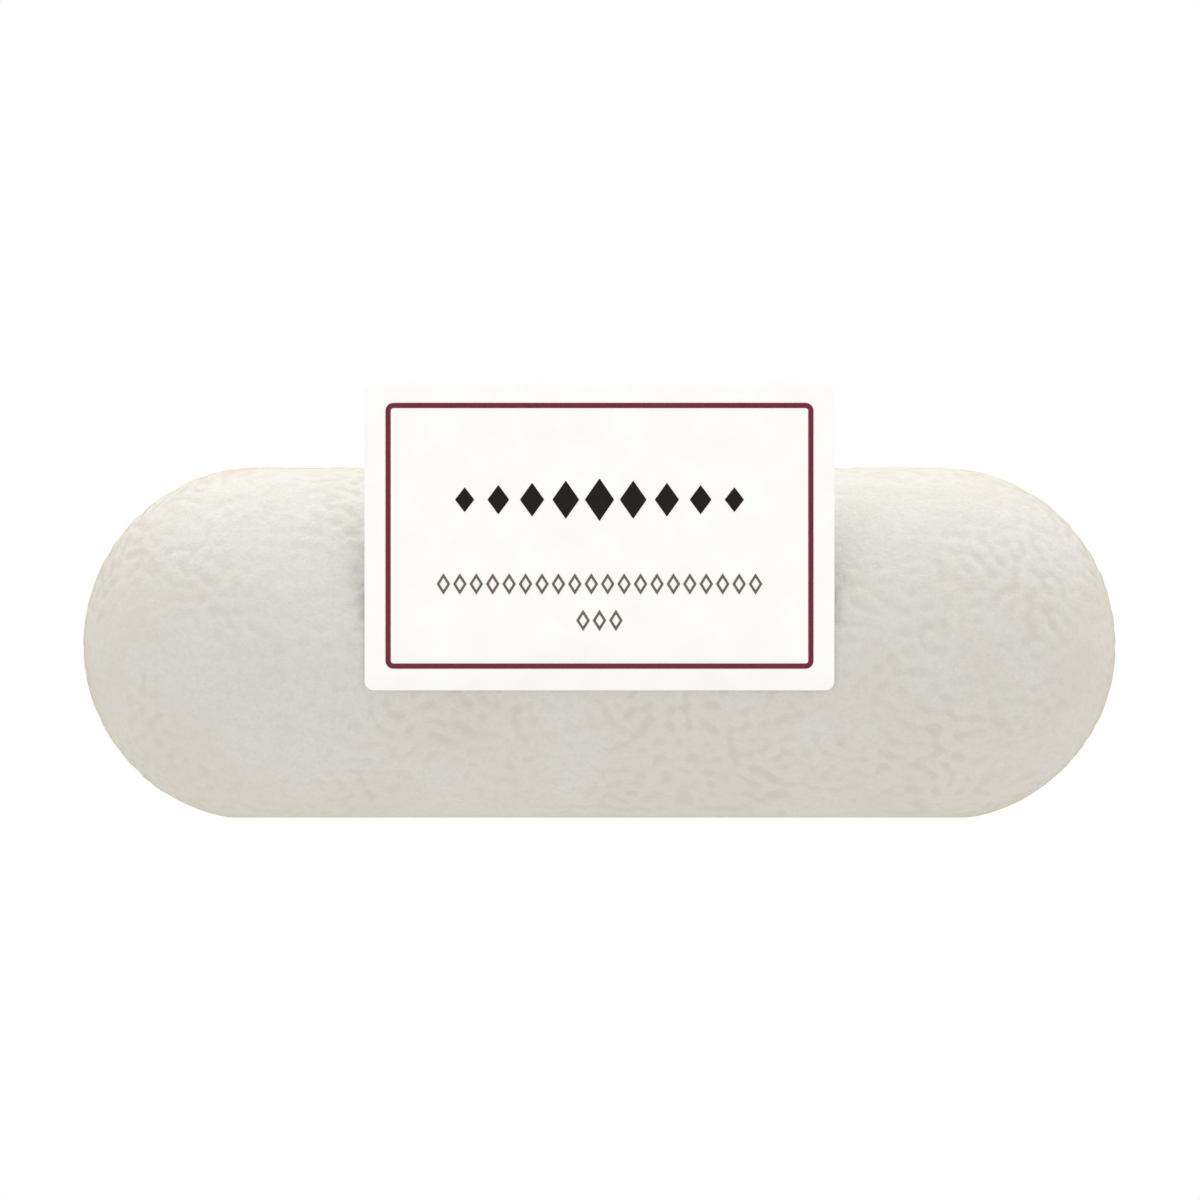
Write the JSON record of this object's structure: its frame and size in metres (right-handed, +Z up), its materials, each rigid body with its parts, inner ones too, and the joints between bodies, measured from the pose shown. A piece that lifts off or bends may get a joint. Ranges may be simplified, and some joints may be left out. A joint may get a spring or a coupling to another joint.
{
  "type": "goat cheese log",
  "caption": "Round-ended log of soft cheese with a pale rind, lying on a small flat, with an upright card label stuck to its front.",
  "frame": {"origin": "middle of the flat on the underside, on which the log lies", "axes": "+X along the log, +Z up, and the card label on the -Y side, facing -Y"},
  "size_m": [0.1444, 0.0499, 0.061],
  "materials": {
    "rind": "soft matte natural rind, chalky white, faintly tan",
    "card": "smooth matte white label board, grey board behind",
    "frame_ink": "burgundy printing ink, the thin frame on the card",
    "title_ink": "near-black printing ink, the solid lozenges on the card",
    "small_ink": "grey-brown printing ink, the open lozenges on the card"
  },
  "bodies": {
    "root": {"cheese_log": "rind", "label_card": "card"}
  },
  "joints": []
}
